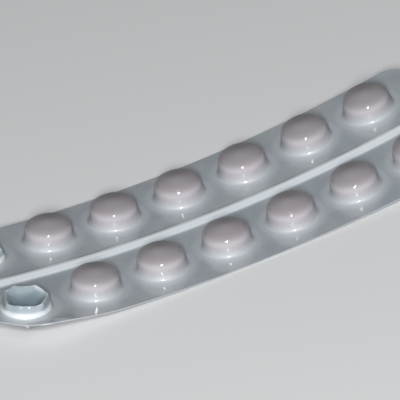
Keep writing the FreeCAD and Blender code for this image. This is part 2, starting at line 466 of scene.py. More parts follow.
@dataclass
class StripSheet:
    """A sheet with the strip's outline, laid out flat in cells round its pockets and then curled."""

    sizes: StripSizes
    label: str = "sheet"
    segments: int = 64
    round_steps: int = 4
    finish_columns: tuple[int, int] = (4, 6)
    border_steps: tuple[float, ...] = (0.45, 1.0)
    inner_edge: float = 0.0
    held_from: float = 0.7 * MM
    edge_lift: float = 1.4375 * MM
    edge_draw: float = 0.14 * MM
    lift_inner: float = 16.9 * MM
    lift_past: float = 1.5 * MM
    lift_along: Span = (32.0 * MM, 50.0 * MM)

    @property
    def level(self) -> float:
        """Height of the sheet's upper side."""
        return self.sizes.foil

    def rib_reach(self) -> float:
        """Place of the centre of the rib's rounded end along the strip."""
        return self.sizes.length / 2 - self.sizes.rib_end_margin - self.sizes.rib_width / 2

    def margin_columns(self) -> list[float]:
        """Places along the strip of the last margin's divisions, from the last cell to the strip's end.

        Returns:
            The places in order.
        """
        last, reach, end = self.sizes.cells_end, self.rib_reach(), self.sizes.length / 2
        near, far = self.finish_columns
        places = [last + (reach - last) * n / near for n in range(near + 1)]
        return places + [reach + (end - reach) * n / far for n in range(1, far + 1)]

    def border_point(self, index: int, low: float, high: float) -> Vector:
        """Corner or division of a cell's rectangular border.

        Args:
            index: Number of the division, counted as a ring's vertices are.
            low: The border's lowest place across the strip, from the pocket's centre.
            high: The border's highest place across the strip, from the pocket's centre.

        Returns:
            Its place in plan.
        """
        side = self.segments // 4
        turned = (index + side // 2) % self.segments
        share = (turned % side) / side
        reach = self.sizes.pitch / 2
        rise = high - low
        corners = {
            0: Vector((reach, low + rise * share)),
            1: Vector((reach - 2 * reach * share, high)),
            2: Vector((-reach, high - rise * share)),
            3: Vector((-reach + 2 * reach * share, low)),
        }
        return corners[turned // side]

    def cell(self, name: str, rings: Sequence[Ring], row: Row) -> Object:
        """Build the form at one pocket, in its rectangular piece of sheet.

        Args:
            name: The cell's name.
            rings: The form's rings from the outermost inwards, with heights above the sheet's upper side.
            row: The row that it belongs to.

        Returns:
            The cell, round the upright axis.
        """
        cell = turned_form(name, [(radius, height + self.level) for radius, height in rings], self.segments)
        ring_radius = rings[0][0]
        inner = self.sizes.row_offset - self.inner_edge
        outer = self.sizes.foot_radius + self.sizes.side_margin
        low, high = (-inner, outer) if row is Row.BACK else (-outer, inner)
        step = 2 * math.pi / self.segments

        def to_border(share: float) -> Callable[[Vector], Vector]:
            """Rule that carries the outermost ring a share of the way to the border.

            Args:
                share: The share.

            Returns:
                The rule.
            """

            def goal(place: Vector) -> Vector:
                """Place of one of the ring's vertices once it has been carried there.

                Args:
                    place: The vertex's place on the ring.

                Returns:
                    Its new place.
                """
                index = round(math.atan2(place.y, place.x) / step)
                on_ring = polar(index * step, ring_radius)
                return Vector((*on_ring.lerp(self.border_point(index, low, high), share), place.z))

            return goal

        with edit_mode(cell):
            pick(cell, Part.EDGE, lambda edge: edge.is_boundary and min(
                from_axis(vertex.co) for vertex in edge.verts) > ring_radius - NEAR)
            for share in self.border_steps:
                bpy.ops.mesh.extrude_edges_indiv()
                move_picked(cell, to_border(share))
        return cell

    def sound_cell(self, row: Row) -> Object:
        """Build the cell of a sound pocket."""
        raise NotImplementedError

    def emptied_cell(self, row: Row) -> Object:
        """Build the cell of an emptied pocket."""
        raise NotImplementedError

    def row_of_cells(self, row: Row) -> Object:
        """Build one row of cells, joined along their borders and carried out to the strip's two ends.

        Args:
            row: Which row.

        Returns:
            The row's part of the sheet.
        """
        sizes = self.sizes
        pattern = self.sound_cell(row)
        cells = []
        for pair in range(1, sizes.pairs + 1):
            if pair <= sizes.emptied_pairs:
                cell = self.emptied_cell(row)
                press(cell, self.drawn_aside)
            else:
                cell = duplicate(pattern, "cell")
            cells.append(shift(cell, Vector((sizes.pair_place(pair), row.value * sizes.row_offset, 0))))
        remove(pattern)
        sheet = join(cells, f"{self.label}_{row.name.lower()}")
        merge_doubles(sheet)
        first, end = sizes.cells_start, -sizes.length / 2
        with edit_mode(sheet):
            for places in ([first, end], self.margin_columns()):
                pick(sheet, Part.EDGE, lambda edge: all(abs(v.co.x - places[0]) < NEAR for v in edge.verts))
                extrude_along(places)
        return sheet

    def corner_lines(self) -> list[tuple[Vector, Vector]]:
        """Tangent lines that trim one corner of the outline, in the quarter with both places positive.

        Returns:
            A point of each line and the direction away from the strip.
        """
        sizes = self.sizes
        end, side = sizes.length / 2, sizes.width / 2
        plan_end = sizes.curl_radius * math.sin(end / sizes.curl_radius)
        leg = end - sizes.curl_radius * math.asin((plan_end - sizes.corner_cut) / sizes.curl_radius)
        tips = [Vector((end, side - sizes.corner_cut, 0)), Vector((end - leg, side, 0))]
        slant = Vector((sizes.corner_cut, leg, 0)).normalized()
        lines = [(tips[0], slant)]
        for tip, first, second in ((tips[0], Vector((1, 0, 0)), slant), (tips[1], slant, Vector((0, 1, 0)))):
            centre = tip - (first + second) * (sizes.corner_round / (1 + first.dot(second)))
            for step in range(1, self.round_steps + 1):
                outward = first.slerp(second, step / (self.round_steps + 1))
                lines.append((centre + outward * sizes.corner_round, outward))
        return lines

    def trim_corners(self, sheet: Object) -> None:
        """Cut the four corners of a flat sheet and round the cuts' ends.

        Args:
            sheet: The flat sheet.
        """
        reach = self.sizes.corner_cut + self.sizes.corner_round
        end, side = self.sizes.length / 2 - reach, self.sizes.width / 2 - reach
        with edit_mode(sheet):
            for along, across in ((1, 1), (1, -1), (-1, 1), (-1, -1)):
                for point, outward in self.corner_lines():
                    pick(sheet, Part.FACE, lambda face: max(v.co.x * along for v in face.verts) > end
                         and max(v.co.y * across for v in face.verts) > side)
                    bpy.ops.mesh.bisect(
                        plane_co=(point.x * along, point.y * across, 0),
                        plane_no=(outward.x * along, outward.y * across, 0),
                        clear_outer=True,
                    )

    def drawn_aside(self, place: Vector) -> Vector:
        """Place of a point of an emptied pocket's cell once the pocket stands nearer the strip's end."""
        held = smooth_ramp(from_axis(place), self.sizes.foot_radius + self.held_from, self.sizes.pitch / 2)
        return place - Vector((self.sizes.emptied_shift * (1 - held), 0, 0))

    def lifted(self, place: Vector) -> Vector:
        """Place of a point once the front edge near the emptied pair has been bent up.

        Args:
            place: The point on the flat sheet.

        Returns:
            Its new place.
        """
        rise = smooth_ramp(-place.y, self.lift_inner, self.sizes.width / 2 + self.lift_past)
        rise *= smooth_ramp(-place.x, *self.lift_along)
        return place + Vector((0, self.edge_draw * rise, self.edge_lift * rise))

    def thicken(self, sheet: Object, thickness: float) -> None:
        """Give a flat sheet its outline, its lifted edge and its thickness.

        Args:
            sheet: The flat sheet.
            thickness: How thick it becomes, downwards.
        """
        merge_doubles(sheet)
        self.trim_corners(sheet)
        press(sheet, self.lifted)
        merge_doubles(sheet)
        apply_modifier(sheet, "SOLIDIFY", {"thickness": thickness, "offset": -1.0, "material_offset_rim": 1})

    def curl(self, sheet: Object) -> Object:
        """Curl a flat sheet to the strip's radius, so that both its ends rise, and shade it smooth.

        Args:
            sheet: The flat sheet.

        Returns:
            The same sheet, in place.
        """
        deselect_all()
        bpy.ops.object.empty_add(type="PLAIN_AXES", rotation=(math.radians(90), 0, 0))
        centre = bpy.context.view_layer.objects.active
        places = [vertex.co.x for vertex in sheet.data.vertices]
        apply_modifier(sheet, "SIMPLE_DEFORM", {
            "deform_method": "BEND",
            "origin": centre,
            "deform_axis": "Z",
            "angle": (max(places) - min(places)) / self.sizes.curl_radius,
        })
        remove(centre)
        return smooth(sheet)


@dataclass
class BlisterFilm(StripSheet):
    """The formed film: flange, sound and crushed pockets, and the rib between the rows."""

    label: str = "film"
    inner_edge: float = 2.2 * MM
    slack: float = 0.01 * MM
    rim_bevel: float = 0.05 * MM
    flange_rings: tuple[float, ...] = (0.9 * MM, 0.4 * MM)
    flare_steps: int = 5
    # radius and height of the rings of a sound pocket's wall, which is bowed a little
    wall_bow: tuple[Ring, ...] = (
        (5.02 * MM, 1.1 * MM), (4.99 * MM, 1.3 * MM), (4.984 * MM, 1.4 * MM), (4.960 * MM, 1.8 * MM),
        (4.936 * MM, 2.2 * MM), (4.929 * MM, 2.3 * MM))
    fit_rounds: int = 20
    shoulder_steps: int = 9
    roof_shares: tuple[float, ...] = (0.8, 0.55, 0.28)
    roof_clearance: float = 0.01 * MM

    # a crushed pocket while it is still round: how far inside the foot each ring of its slope is, and its
    # height, then radius and height of each ring of its floor, in millimetres
    round_height: float = 0.9 * MM
    slope: tuple[Ring, ...] = (
        (0.38, 1.35), (0.6, 1.9), (0.75, 2.3), (0.86, 2.52), (1.02, 2.6), (1.22, 2.52), (1.45, 2.32),
        (1.8, 2.0), (2.2, 1.65), (2.7, 1.3), (3.3, 1.1))
    floor: tuple[Ring, ...] = ((1.2, 1.0), (0.6, 0.98), (0.0, 0.97))

    # its folds: direction in degrees, and how far inside the foot the rim is drawn there, in millimetres
    folds: tuple[tuple[float, float], ...] = (
        (-8, 0.25), (38, 0.2), (95, 0.3), (130, 0.35), (190, 0.45), (225, 1.2), (262, 1.2), (293, 0.35))
    turn_back: float = 35.0
    rim_inset: float = 0.8 * MM
    rim_half: float = 0.3 * MM
    fold_sharpness: float = 2.2
    fold_tolerance: float = 1e-6
    fold_rise: float = 0.04 * MM
    span_sag: float = 0.12 * MM
    crease_rise: float = 0.12 * MM
    far_rise: float = 0.35 * MM
    dent_depth: float = 0.22 * MM
    dent_grain: float = 420.0
    dent_seed: float = 3.7
    soften: int = 2
    # heights, and the last two radii, over which each of its changes sets in
    wall_folds: Span = (0.8 * MM, 2.1 * MM)
    rim_folds: Span = (1.2 * MM, 2.6 * MM)
    wall_dents: Span = (0.9 * MM, 1.6 * MM)
    dish_folds: Span = (0.2 * MM, 2.6 * MM)
    dish_creases: Span = (1.0 * MM, 2.4 * MM)

    rib_segments: int = 32
    root_steps: int = 4
    crown_steps: int = 7

    @property
    def level(self) -> float:
        """Height of the flange's upper side."""
        return self.sizes.film_top

    def lean_angle(self) -> float:
        """Lean of a pocket's wall from the upright, in degrees."""
        return math.degrees(math.atan2(self.sizes.pocket_lean, self.sizes.pocket_height))

    def foot_rings(self) -> list[Ring]:
        """Rings of a pocket's flared foot, from the flange up to the wall.

        Returns:
            Radius and height of each ring.
        """
        flare = self.sizes.foot_flare
        centre = self.sizes.wall_radius(flare) + flare / math.cos(math.radians(self.lean_angle()))
        turned = arc((centre, flare), flare, 270, 180 + self.lean_angle(), self.flare_steps)
        return [(centre + beyond, 0.0) for beyond in self.flange_rings] + turned

    def sound_rings(self) -> list[Ring]:
        """Rings of a sound pocket from the flange to the middle of its roof.

        Returns:
            Radius and height of each ring.
        """
        sizes = self.sizes
        lean = self.lean_angle()
        edge = sizes.wall_radius(sizes.pocket_height - sizes.roof_rise)
        roof = (edge ** 2 + sizes.roof_rise ** 2) / (2 * sizes.roof_rise)
        crown_height = sizes.pocket_height - self.roof_clearance
        roof_centre = crown_height - roof
        shoulder_height = sizes.pocket_height - sizes.shoulder
        inwards = sizes.shoulder / math.cos(math.radians(lean))
        for _ in range(self.fit_rounds):
            shoulder_radius = sizes.wall_radius(shoulder_height) - inwards
            shoulder_height = roof_centre + math.sqrt((roof - sizes.shoulder) ** 2 - shoulder_radius ** 2)
        crown = math.degrees(math.atan2(shoulder_height - roof_centre, shoulder_radius))
        centre = (shoulder_radius, shoulder_height)
        turned = arc(centre, sizes.shoulder, lean, crown, self.shoulder_steps)
        radii = [turned[-1][0] * share for share in self.roof_shares]
        roof_rings = [(radius, roof_centre + math.sqrt(roof ** 2 - radius ** 2)) for radius in radii]
        return self.foot_rings() + list(self.wall_bow) + turned + roof_rings + [(0.0, crown_height)]

    def crushed_rings(self) -> list[Ring]:
        """Rings of a crushed pocket while it is still round.

        Returns:
            Radius and height of each ring.
        """
        wall = [(self.sizes.wall_radius(self.round_height), self.round_height)]
        slope = [(self.sizes.foot_radius - inside * MM, height * MM) for inside, height in self.slope]
        floor = [(radius * MM, height * MM) for radius, height in self.floor]
        return self.foot_rings() + wall + slope + floor

    def buckle(self, cell: Object, turn: float, seed: float) -> None:
        """Fold a round crushed pocket's rim into straight lengths between sharp folds.

        Args:
            cell: The cell with the round crushed pocket.
            turn: Turn of the folds in degrees.
            seed: Place in the noise that the small dents are taken from.
        """
        step = 360 / self.segments
        corners = sorted(
            (round((direction + turn) / step) * step % 360, self.sizes.foot_radius - drawn * MM)
            for direction, drawn in self.folds)
        mean = self.sizes.foot_radius - self.rim_inset
        round_radius = self.sizes.wall_radius(self.round_height)

        def rim_share(angle: float) -> tuple[float, float]:
            """Judge the buckled rim in one direction.

            Args:
                angle: The direction in degrees.

            Returns:
                The rim's radius as a share of the round one's, and nearness to a fold.
            """
            after = next((n for n, (at, _) in enumerate(corners) if at > angle + self.fold_tolerance), 0)
            first, second = corners[after - 1], corners[after]
            start, finish = (polar(math.radians(at), radius) for at, radius in (first, second))
            ray, chord = polar(math.radians(angle)), finish - start
            reach = (start.x * chord.y - start.y * chord.x) / (ray.x * chord.y - ray.y * chord.x)
            span = (second[0] - first[0]) % 360
            part = min(max(((angle - first[0] + 90) % 360 - 90) / span, 0.0), 1.0)
            return reach / mean, abs(2 * part - 1) ** self.fold_sharpness

        def folded(place: Vector) -> Vector:
            """Place of a point of the round pocket once it has buckled.

            Args:
                place: The point of the round pocket.

            Returns:
                Its new place.
            """
            height, radius = place.z - self.level, from_axis(place)
            if radius > round_radius + NEAR or radius < NEAR:
                return place
            share, nearness = rim_share(math.degrees(math.atan2(place.y, place.x)) % 360)
            high = smooth_ramp(height, *self.rim_folds)
            up = (self.fold_rise * nearness - self.span_sag * (1 - nearness)) * high
            dent = noise.noise(place * self.dent_grain + Vector((seed, 0, 0))) * self.dent_depth
            if radius < mean - self.rim_half:
                hold = smooth_ramp(radius, *self.dish_folds)
                up += self.crease_rise * nearness * (1 - high) * smooth_ramp(radius, *self.dish_creases)
            else:
                hold = smooth_ramp(height, *self.wall_folds)
                dent *= smooth_ramp(height, *self.wall_dents)
            scale = 1 + (share - 1) * hold
            up += dent + self.far_rise * max(0.0, place.y / radius) * high
            return Vector((place.x * scale, place.y * scale, place.z + up))

        press(cell, folded)
        with edit_mode(cell):
            pick(cell, Part.FACE, lambda face: face.calc_center_median().z > self.level + self.round_height)
            bpy.ops.mesh.vertices_smooth(factor=0.5, repeat=self.soften)

    def sound_cell(self, row: Row) -> Object:
        """Build the cell of a sound pocket."""
        return self.cell("sound_cell", self.sound_rings(), row)

    def emptied_cell(self, row: Row) -> Object:
        """Build the cell of a crushed pocket.

        Args:
            row: The row that it belongs to.

        Returns:
            The cell, round the upright axis.
        """
        cell = self.cell("crushed_cell", self.crushed_rings(), row)
        self.buckle(cell, self.turn_back if row is Row.BACK else 0.0, row.value * self.dent_seed)
        return cell

    def rib_rings(self) -> list[Ring]:
        """Rings of the rib's rounded end, from the flange to its crown.

        Returns:
            Radius and height of each ring.
        """
        sizes = self.sizes
        radius = (sizes.rib_width ** 2 / 4 + sizes.rib_height ** 2) / (2 * sizes.rib_height)
        low = sizes.rib_height - radius
        reach = math.sqrt((radius + sizes.rib_root) ** 2 - (sizes.rib_root - low) ** 2)
        meeting = math.degrees(math.atan2(sizes.rib_root - low, reach))
        root = arc((reach, sizes.rib_root), sizes.rib_root, 270, 180 + meeting, self.root_steps)
        crown = arc((0.0, low), radius, meeting, 90, self.crown_steps)[1:-1]
        return [(self.inner_edge, 0.0)] + root + crown + [(0.0, sizes.rib_height)]

    def rib_end(self) -> Object:
        """Build the rib's half-round end, looking along the strip, with its round part on the upright axis.

        Returns:
            The end.
        """
        raised = [(radius, height + self.level) for radius, height in self.rib_rings()]
        end = turned_form("rib_end", raised, self.rib_segments)
        with edit_mode(end, whole=True):
            bpy.ops.mesh.bisect(plane_co=(0, 0, 0), plane_no=(-1, 0, 0), clear_outer=True)
        return end

    def flange_beyond(self, end: Object, columns: Sequence[float]) -> None:
        """Carry the rib end's outer half ring out to the strip's end.

        Args:
            end: The rib's end.
            columns: Places of the flange's divisions beyond the end's centre.
        """
        half, edge = self.rib_segments // 2, self.inner_edge
        cross = half - 2 * len(columns)
        path = [(at, edge) for at in (0.0, *columns)]
        path += [(columns[-1], edge * (1 - 2 * n / cross)) for n in range(1, cross)]
        path += [(at, -edge) for at in (*reversed(columns), 0.0)]

        def goal(place: Vector) -> Vector:
            """Place of one of the half ring's vertices."""
            index = round((math.pi / 2 - math.atan2(place.y, place.x)) / (math.pi / half))
            return Vector((*path[index], place.z))

        with edit_mode(end):
            pick(end, Part.EDGE, lambda link: min(from_axis(v.co) for v in link.verts) > edge - NEAR)
            bpy.ops.mesh.extrude_edges_indiv()
            move_picked(end, goal)

    def rib(self) -> Object:
        """Build the rib and the band of flange that it stands on.

        Returns:
            The band between the rows.
        """
        columns, reach = self.columns(), self.rib_reach()
        start = min(columns, key=lambda at: abs(at + reach))
        finish = min(columns, key=lambda at: abs(at - reach))
        low_end = self.rib_end()
        high_end = duplicate(low_end, "rib_end")
        self.flange_beyond(low_end, [start - at for at in reversed(columns) if at < start])
        self.flange_beyond(high_end, [at - finish for at in columns if at > finish])
        shift(half_turn(low_end), Vector((start, 0, 0)))
        shift(high_end, Vector((finish, 0, 0)))
        with edit_mode(low_end):
            pick(low_end, Part.EDGE, lambda edge: all(
                abs(v.co.x - start) < NEAR and abs(v.co.y) < self.inner_edge + NEAR for v in edge.verts))
            extrude_along([at for at in columns if start <= at <= finish])
        return join([low_end, high_end], "film_rib")

    def columns(self) -> list[float]:
        """Places along the strip where the rows' inner borders have vertices.

        Returns:
            The places in order.
        """
        sizes, side = self.sizes, self.segments // 4
        cells = [sizes.cells_start + n * sizes.pitch / side for n in range(sizes.pairs * side)]
        return [-sizes.length / 2] + cells + self.margin_columns()

    def build(self) -> Object:
        """Build the whole film.

        Returns:
            The film, in place.
        """
        sheet = join([self.row_of_cells(row) for row in Row] + [self.rib()], "formed_film")
        self.thicken(sheet, self.sizes.film - self.slack)

        def at_rim(edge: bmesh.types.BMEdge) -> bool:
            """Whether an edge lies between a face of the sheet and its cut edge."""
            return len({face.material_index for face in edge.link_faces}) == 2

        with edit_mode(sheet):
            pick(sheet, Part.EDGE, at_rim)
            bpy.ops.mesh.bevel(offset=self.rim_bevel, segments=2, affect="EDGES", material=1)
            pick(sheet, Part.EDGE, at_rim)
            bpy.ops.mesh.mark_sharp()
        return self.curl(sheet)


@dataclass
class LiddingFoil(StripSheet):
    """The lidding foil: a thin sheet with the pockets' imprints, burst under the emptied pair."""

    label: str = "foil"
    # rings of the imprint that a pocket's edge leaves: how far beyond the foot, and its share of the depth
    imprint: tuple[Ring, ...] = (
        (1.5 * MM, 0.0), (0.75 * MM, 0.0), (0.45 * MM, 0.2), (0.2 * MM, 0.0), (-0.15 * MM, 0.0),
        (-0.9 * MM, 0.35), (-2.4 * MM, 0.8), (-4.0 * MM, 1.0))
    imprint_depth: float = 0.05 * MM

    opening_radius: float = 4.45 * MM
    burst_flange: tuple[float, ...] = (1.5 * MM, 0.75 * MM, 0.2 * MM)
    tears: tuple[float, ...] = (12, 88, 150, 222, 301)
    turn_back: float = 40.0
    tear_seed: float = 2.3
    # the flaps: their rings, how they narrow to a ragged, rounded tip, and how they curl down
    flap_shares: tuple[float, ...] = (0.12, 0.3, 0.48, 0.66, 0.83, 1.0)
    flap_reach: float = 3.2 * MM
    narrowing: tuple[float, float] = (0.12, 0.5)
    tip_round: float = 0.9 * MM
    ragged_depth: float = 0.35 * MM
    ragged_round: float = 4.0
    ragged_inwards: float = 900.0
    flap_curl: float = 1.7 * MM
    curl_spread: float = 0.35

    def imprint_rings(self) -> list[Ring]:
        """Rings of the faint round imprint that a pocket's edge leaves, from the flange inwards."""
        foot, depth = self.sizes.foot_radius, self.imprint_depth
        return [(foot + beyond, share * depth) for beyond, share in self.imprint] + [(0.0, depth)]

    def burst_rings(self) -> list[Ring]:
        """Rings of a burst place, from the flange to the tips of the torn flaps.

        Returns:
            Radius and height of each ring.
        """
        flange = [self.sizes.foot_radius + beyond for beyond in self.burst_flange]
        flaps = [self.opening_radius - self.flap_reach * share for share in (0.0, *self.flap_shares)]
        return [(radius, 0.0) for radius in flange + flaps]

    def open_flaps(self, cell: Object, turn: float, seed: float) -> None:
        """Tear a burst place between its flaps and bend them down.

        Args:
            cell: The cell with the closed ring of flaps.
            turn: Turn of the tears in degrees.
            seed: Place in the noise that the ragged edges are taken from.
        """
        step = 2 * math.pi / self.segments
        edge = self.opening_radius
        cuts = sorted(round(math.radians(tear + turn) / step) % self.segments for tear in self.tears)

        def on_tear(link: bmesh.types.BMEdge) -> bool:
            """Whether an edge runs along one of the tears.

            Args:
                link: The edge.

            Returns:
                Whether it does.
            """
            radii = [from_axis(vertex.co) for vertex in link.verts]
            if max(radii) > edge + NEAR or abs(radii[0] - radii[1]) < 5 * NEAR:
                return False
            place = link.verts[0].co
            return round(math.atan2(place.y, place.x) / step) % self.segments in cuts

        def bent(place: Vector, flap: Vector) -> Vector:
            """Place of a point of a flap once it hangs down.

            Args:
                place: The point in the closed ring.
                flap: The middle of a face of its flap.

            Returns:
                Its new place.
            """
            depth = edge - from_axis(place)
            home = math.atan2(flap.y, flap.x) % (2 * math.pi)
            after = next((n for n, cut in enumerate(cuts) if cut * step > home), 0)
            first, second = cuts[after - 1] * step, cuts[after] * step
            span = (second - first) % (2 * math.pi)
            middle = first + span / 2
            angle = math.atan2(place.y, place.x)
            off = (angle - middle + math.pi) % (2 * math.pi) - math.pi
            share = depth / self.flap_reach
            narrowed = off * (1 - self.narrowing[0] * share - self.narrowing[1] * share ** 2)
            grain = Vector((angle * self.ragged_round, depth * self.ragged_inwards, seed))
            depth += noise.noise(grain) * self.ragged_depth * share
            depth -= self.tip_round * share ** 2 * (2 * off / span) ** 2
            curl = self.flap_curl * (1 + self.curl_spread * math.sin(len(cuts) * middle + seed))
            turned = polar(middle + narrowed, edge - curl * math.sin(depth / curl))
            return Vector((*turned, place.z - curl * (1 - math.cos(depth / curl))))

        with edit_mode(cell):
            pick(cell, Part.EDGE, on_tear)
            bpy.ops.mesh.edge_split(type="EDGE")
            mesh = bmesh.from_edit_mesh(cell.data)
            for vertex in mesh.verts:
                if edge - from_axis(vertex.co) > NEAR:
                    vertex.co = bent(vertex.co, vertex.link_faces[0].calc_center_median())
            bmesh.update_edit_mesh(cell.data)

    def sound_cell(self, row: Row) -> Object:
        """Build the cell of a sound pocket."""
        return self.cell("imprint_cell", self.imprint_rings(), row)

    def emptied_cell(self, row: Row) -> Object:
        """Build the cell of a burst place.

        Args:
            row: The row that it belongs to.

        Returns:
            The cell, round the upright axis.
        """
        cell = self.cell("burst_cell", self.burst_rings(), row)
        self.open_flaps(cell, self.turn_back if row is Row.BACK else 0.0, self.tear_seed + row.value)
        return cell

    def build(self) -> Object:
        """Build the whole foil.

        Returns:
            The foil, in place.
        """
        sheet = join([self.row_of_cells(row) for row in Row], "embossed_foil")
        self.thicken(sheet, self.sizes.foil)
        return self.curl(sheet)


@dataclass
class Tablets:
    """The round tablets that are left in the sound pockets."""

    sizes: StripSizes
    segments: int = 64
    crown_shares: tuple[float, ...] = (0.12, 0.35, 0.6, 0.82, 1.0)
    edge_round: float = 0.55 * MM

    def pattern(self) -> Object:
        """Build one tablet, standing on its lower crown round the upright axis.

        Returns:
            The tablet.
        """
        height, rise = self.sizes.tablet_height, self.sizes.tablet_crown
        radius = self.sizes.tablet_diameter / 2
        crown = (radius ** 2 + rise ** 2) / (2 * rise)
        radii = [radius * share for share in self.crown_shares]
        lower = [(across, crown - math.sqrt(crown ** 2 - across ** 2)) for across in radii]
        upper = [(across, height - low) for across, low in reversed(lower)]
        tablet = turned_form("tablet", lower + upper + [(0.0, height)], self.segments)
        with edit_mode(tablet):
            pick(tablet, Part.EDGE, lambda edge: edge.is_boundary)
            bpy.ops.mesh.extrude_edges_indiv()
            bpy.ops.mesh.merge(type="CENTER")
            pick(tablet, Part.EDGE, lambda edge: all(from_axis(v.co) > radius - NEAR for v in edge.verts)
                 and abs(edge.verts[0].co.z - edge.verts[1].co.z) < NEAR)
            bpy.ops.mesh.bevel(offset=self.edge_round, segments=3, affect="EDGES")
        merge_doubles(tablet)
        press(tablet, lambda place: Vector((place.x, place.y, max(place.z, 0.0))))
        return smooth(tablet)

    def seat(self, tablet: Object, pair: int, row: Row) -> Object:
        """Set a tablet on the curled foil in its pocket.

        Args:
            tablet: The tablet, round the upright axis.
            pair: Number of its pair of pockets.
            row: Its row.

        Returns:
            The tablet, in place.
        """
        sizes = self.sizes
        turn = sizes.pair_place(pair) / sizes.curl_radius
        lift = sizes.foil + sizes.tablet_seat_gap
        to_centre = Matrix.Translation((0, row.value * sizes.row_offset, lift - sizes.curl_radius))
        tablet.matrix_world = (
            Matrix.Translation((0, 0, sizes.curl_radius)) @ Matrix.Rotation(-turn, 4, "Y") @ to_centre)
        return settle(tablet)

    def build(self) -> dict[str, Object]:
        """Build every tablet.

        Returns:
            Each tablet by the name of the solid that it stands for.
        """
        pattern = self.pattern()
        placed = {}
        for row in Row:
            for pair in range(self.sizes.emptied_pairs + 1, self.sizes.pairs + 1):
                name = f"{row.name.lower()}_{pair}"
                tablet = duplicate(pattern, f"coated_tablet_{name}")
                placed[f"tablet_{name}"] = self.seat(tablet, pair, row)
        remove(pattern)
        return placed


# --- finishes -----------------------------------------------------------------------------------------------


def paint(red: int, green: int, blue: int) -> Colour:
    """Colour as the shader wants it, from a paint's three values up to 255.

    Args:
        red: The paint's red.
        green: The paint's green.
        blue: The paint's blue.

    Returns:
        The linear colour.
    """
    values = [value / 255 for value in (red, green, blue)]
    linear = [v / 12.92 if v <= 0.04045 else ((v + 0.055) / 1.055) ** 2.4 for v in values]
    return linear[0], linear[1], linear[2]


class Socket:
    """One value in a shader, with the arithmetic that the finishes are written in."""

    def __init__(self, board: "Board", source: NodeSocket) -> None:
        """Wrap a node's output, in the material that it belongs to."""
        self.board = board
        self.source = source

    def math(self, operation: str, *others: "Socket | float") -> "Socket":
        """Result of a Math node on this value and others."""
        values = dict(enumerate((self, *others)))
        return self.board.add("ShaderNodeMath", {"operation": operation}, values)

    def __add__(self, other: "Socket | float") -> "Socket":
        """Sum."""
        return self.math("ADD", other)

    __radd__ = __add__

    def __sub__(self, other: "Socket | float") -> "Socket":
        """Difference."""
        return self.math("SUBTRACT", other)

    def __rsub__(self, other: float) -> "Socket":
        """Difference from a number on the left."""
        return self.board.add("ShaderNodeMath", {"operation": "SUBTRACT"}, {0: other, 1: self})

    def __mul__(self, other: "Socket | float") -> "Socket":
        """Product."""
        return self.math("MULTIPLY", other)

    __rmul__ = __mul__

    def ramp(self, start: float, finish: float) -> "Socket":
        """Ease from nought at one value to one at another."""
        values = {"Value": self, "From Min": start, "From Max": finish}
        return self.board.add("ShaderNodeMapRange", {"interpolation_type": "SMOOTHSTEP"}, values)

    def band(self, start: float, finish: float, fade: float) -> "Socket":
        """One between two values and nought outside them, with eased sides."""
        return self.ramp(start - fade, start) * (1 - self.ramp(finish, finish + fade))


class Board:
    """The nodes of one material."""

    def __init__(self, name: str) -> None:
        """Start an empty material.

        Args:
            name: The material's name.
        """
        self.material = bpy.data.materials.new(name)
        self.material.use_nodes = True
        self.nodes = self.material.node_tree.nodes
        self.links = self.material.node_tree.links
        self.nodes.clear()

    def node(self, kind: str, settings: dict[str, object], values: dict[int | str, object]) -> Node:
        """Add a node.

        Args:
            kind: The node's type.
            settings: Its settings by name.
            values: Numbers, colours or links for its inputs, by name or number.

        Returns:
            The node.
        """
        made = self.nodes.new(kind)
        for name, value in settings.items():
            setattr(made, name, value)
        for name, value in values.items():
            target = made.inputs[name]
            if isinstance(value, Socket):
                self.links.new(value.source, target)
            elif isinstance(value, tuple) and len(value) == 3 and target.type == "RGBA":
                target.default_value = (*value, 1.0)
            else:
                target.default_value = value
        return made

    def add(self, kind: str, settings: dict[str, object], values: dict[int | str, object],
            output: int | str = 0) -> Socket:
        """Add a node and take one of its outputs.

        Args:
            kind: The node's type.
            settings: Its settings by name.
            values: Numbers, colours or links for its inputs, by name or number.
            output: Which output to take.

        Returns:
            That output.
        """
        return Socket(self, self.node(kind, settings, values).outputs[output])

    def blend(self, share: Socket | float, first: Socket | Colour, second: Socket | Colour) -> Socket:
        """Mix two colours by a share of the second."""
        return self.add("ShaderNodeMix", {"data_type": "RGBA"}, {0: share, 6: first, 7: second}, 2)

    def grain(self, place: Socket, scale: float, detail: float = 2.0, roughness: float = 0.5) -> Socket:
        """Soft noise between nought and one at a number of features per metre."""
        return self.add("ShaderNodeTexNoise", {}, {
            "Vector": place, "Scale": scale, "Detail": detail, "Roughness": roughness})

    def stretched(self, place: Socket, factors: Vector) -> Socket:
        """Place with its three directions drawn out or pressed together."""
        return self.add("ShaderNodeVectorMath", {"operation": "MULTIPLY"}, {0: place, 1: factors})

    def bump(self, height: Socket, distance: float, strength: float = 1.0,
             under: Socket | None = None) -> Socket:
        """Shape surface relief from a height.

        Args:
            height: The height, as a share of the distance.
            distance: What a height of one stands for.
            strength: How much of the relief shows.
            under: An earlier relief that it lies on.

        Returns:
            The relief.
        """
        earlier = {} if under is None else {"Normal": under}
        values = {"Height": height, "Distance": distance, "Strength": strength}
        return self.add("ShaderNodeBump", {}, values | earlier)

    def finish(self, values: dict[int | str, object]) -> Material:
        """Close the material with one surface shader.

        Args:
            values: Numbers, colours or links for the shader's inputs.

        Returns:
            The material.
        """
        surface = self.add("ShaderNodeBsdfPrincipled", {}, values)
        self.node("ShaderNodeOutputMaterial", {}, {"Surface": surface})
        return self.material


